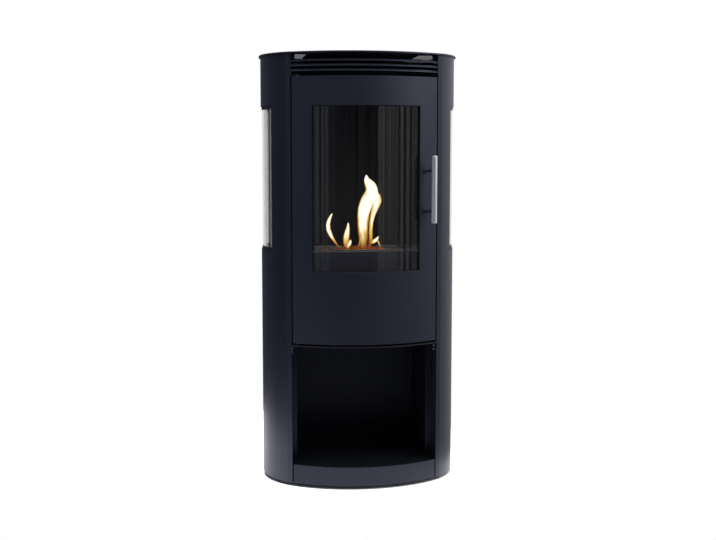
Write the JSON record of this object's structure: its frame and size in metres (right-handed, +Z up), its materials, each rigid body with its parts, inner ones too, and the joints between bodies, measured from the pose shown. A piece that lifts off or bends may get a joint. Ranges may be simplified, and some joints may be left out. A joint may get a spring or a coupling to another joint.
{
  "type": "bioethanol fireplace",
  "caption": "Slim free-standing bioethanol fireplace with a bowed front, curved side windows, a hinged glazed door, a louvre grille, a lift-out burner and an open log compartment.",
  "frame": {"origin": "on the floor, under the middle of the object's box", "axes": "+Z up, -Y out of the bowed front with the door, +X to the right as seen from the front"},
  "size_m": [0.491, 0.3509, 1.05],
  "materials": {
    "cabinet_paint": "fine-textured matt powder coat",
    "plinth_paint": "fine-textured matt powder coat",
    "blade_paint": "fine-textured matt powder coat",
    "liner_paint": "matt powder coat",
    "firebox_paint": "dull heat-proof paint",
    "door_paint": "fine-textured matt powder coat",
    "side_glazing": "clear curved heat-proof glass",
    "door_glazing": "clear curved heat-proof glass",
    "gasket_tape": "woven black tape",
    "zinc_steel": "zinc-plated",
    "bush_brass": "turned",
    "catch_steel": "black moulded body",
    "handle_steel": "ground along its length",
    "standoff_steel": "dark satin",
    "burner_steel": "brushed stainless",
    "wool": "felted mineral wool",
    "foot_plastic": "moulded"
  },
  "bodies": {
    "cabinet": {"base_plate": "cabinet_paint", "side_panel_left": "cabinet_paint", "side_panel_right": "cabinet_paint", "back_panel": "cabinet_paint", "top_plate": "cabinet_paint", "louvre_bracket_left": "cabinet_paint", "louvre_bracket_right": "cabinet_paint", "hearth_shelf": "cabinet_paint", "firebox_deck": "cabinet_paint", "door_lintel": "cabinet_paint", "hinge_bracket_bottom": "cabinet_paint", "hinge_bracket_top": "cabinet_paint", "plinth_front": "plinth_paint", "louvre_blade_top": "blade_paint", "louvre_blade_middle": "blade_paint", "louvre_blade_bottom": "blade_paint", "log_floor": "liner_paint", "log_wall_left": "liner_paint", "log_wall_right": "liner_paint", "log_wall_back": "liner_paint", "firebox_back": "firebox_paint", "heat_baffle": "firebox_paint", "side_glass_left": "side_glazing", "side_glass_right": "side_glazing", "side_gasket_left": "gasket_tape", "side_gasket_right": "gasket_tape", "back_screws": "zinc_steel", "lug_screws": "zinc_steel", "post_screws": "zinc_steel", "side_clips_left": "zinc_steel", "side_clips_right": "zinc_steel", "hinge_pins": "zinc_steel", "magnet_catch": "catch_steel", "glide_feet": "foot_plastic"},
    "door": {"door_panel": "door_paint", "door_gasket": "gasket_tape", "door_glass": "door_glazing", "door_clips": "zinc_steel", "door_clip_screws": "zinc_steel", "door_bushes": "bush_brass", "strike_plate": "zinc_steel", "handle_bar": "handle_steel", "handle_rosettes": "standoff_steel", "handle_standoffs": "standoff_steel", "handle_screws": "zinc_steel"},
    "burner": {"burner_tray": "burner_steel", "burner_insert": "burner_steel", "ceramic_wool": "wool"},
    "slide": {"flame_slide": "burner_steel"}
  },
  "joints": [
    {"name": "door_hinge", "type": "hinge", "parent": "cabinet", "child": "door", "pos_m": [-0.162, -0.11798, 0.6735], "axis": [0, 0, -1], "range_deg": [0, 100]},
    {"name": "burner_lift", "type": "slide", "parent": "cabinet", "child": "burner", "axis": [0, 0, 1], "range_m": [0, 0.12]},
    {"name": "flame_slide_travel", "type": "slide", "parent": "burner", "child": "slide", "axis": [0, -1, 0], "range_m": [0, 0.042]}
  ]
}
